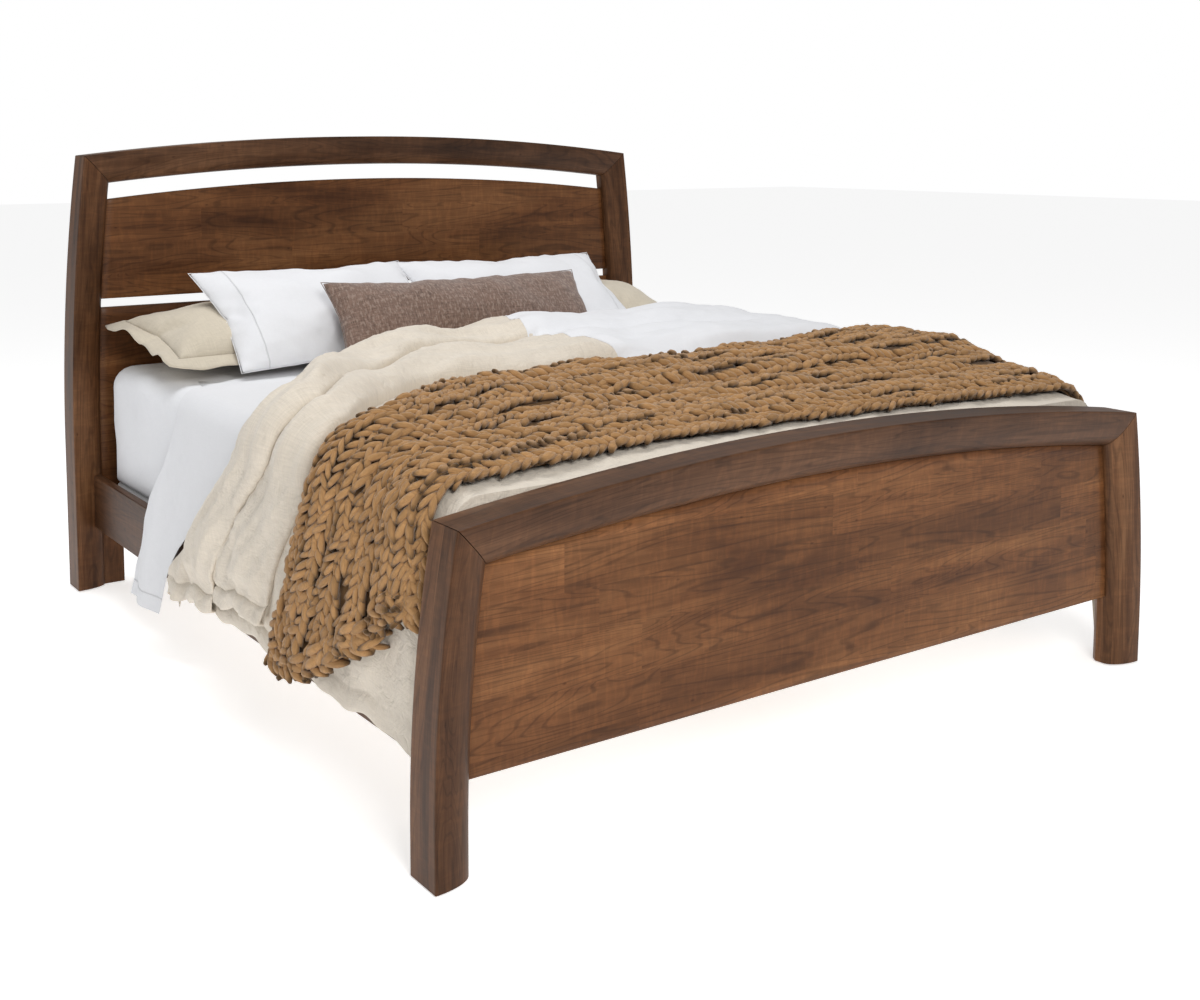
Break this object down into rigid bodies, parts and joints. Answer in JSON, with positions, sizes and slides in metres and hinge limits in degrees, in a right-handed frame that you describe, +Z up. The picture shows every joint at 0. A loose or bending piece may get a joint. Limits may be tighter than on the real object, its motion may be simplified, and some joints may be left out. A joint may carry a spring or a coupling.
{
  "type": "panel bed",
  "caption": "King-size wooden panel bed with bowed posts, arched mitred rails and slatted deck, dressed with mattress, pillows, duvet and chunky knit throw.",
  "frame": {"origin": "on the floor, at the middle of the bed's bounding box", "axes": "+Z up, +X across the bed towards its right seen from the foot, +Y from the foot end to the head end"},
  "size_m": [2.13, 2.245, 1.38],
  "materials": {
    "dark_stain": "dark brown stain under satin lacquer",
    "panel_stain": "medium brown stain under satin lacquer",
    "plain_wood": "unstained, planed",
    "steel": "zinc plated",
    "plastic": "moulded black",
    "ticking": "woven cover",
    "white_cotton": "plain weave cotton",
    "oat_linen": "washed linen",
    "beige_linen": "washed linen",
    "brown_tweed": "basket weave",
    "caramel_knit": "chunky chain-stitch knit"
  },
  "bodies": {
    "bed": {"head_post_left": "dark_stain", "head_post_left_glide": "plastic", "head_mitre_spline_left": "plain_wood", "head_catch_plate_left": "steel", "head_hook_plate_left": "steel", "head_post_right": "dark_stain", "head_post_right_glide": "plastic", "head_mitre_spline_right": "plain_wood", "head_catch_plate_right": "steel", "head_hook_plate_right": "steel", "head_top_rail": "dark_stain", "foot_post_left": "dark_stain", "foot_post_left_glide": "plastic", "foot_mitre_spline_left": "plain_wood", "foot_catch_plate_left": "steel", "foot_hook_plate_left": "steel", "foot_post_right": "dark_stain", "foot_post_right_glide": "plastic", "foot_mitre_spline_right": "plain_wood", "foot_catch_plate_right": "steel", "foot_hook_plate_right": "steel", "foot_top_rail": "dark_stain", "head_upper_panel": "panel_stain", "head_lower_panel": "panel_stain", "foot_panel": "panel_stain", "head_inner_leg_left": "dark_stain", "side_rail_left": "dark_stain", "slat_cleat_left": "plain_wood", "head_inner_leg_right": "dark_stain", "side_rail_right": "dark_stain", "slat_cleat_right": "plain_wood", "slat_1": "plain_wood", "slat_2": "plain_wood", "slat_3": "plain_wood", "slat_4": "plain_wood", "slat_5": "plain_wood", "slat_6": "plain_wood", "slat_7": "plain_wood", "slat_8": "plain_wood", "beam_hanger_foot": "steel", "beam_hanger_head": "steel", "middle_beam": "plain_wood", "middle_leg_1": "plain_wood", "middle_leg_2": "plain_wood", "middle_leg_3": "plain_wood", "foundation": "ticking", "mattress": "white_cotton", "flanged_pillow_left": "beige_linen", "white_pillow_left": "white_cotton", "flanged_pillow_right": "beige_linen", "white_pillow_right": "white_cotton", "lumbar_pillow": "brown_tweed", "flat_sheet": "white_cotton", "duvet": "oat_linen", "knit_throw": "caramel_knit"},
    "foot_1": {"levelling_foot_1": "plastic"},
    "foot_2": {"levelling_foot_2": "plastic"},
    "foot_3": {"levelling_foot_3": "plastic"}
  },
  "joints": [
    {"name": "foot_1_wind", "type": "slide", "parent": "bed", "child": "foot_1", "axis": [0, 0, 1], "range_m": [0, 0.01]},
    {"name": "foot_2_wind", "type": "slide", "parent": "bed", "child": "foot_2", "axis": [0, 0, 1], "range_m": [0, 0.01]},
    {"name": "foot_3_wind", "type": "slide", "parent": "bed", "child": "foot_3", "axis": [0, 0, 1], "range_m": [0, 0.01]}
  ]
}
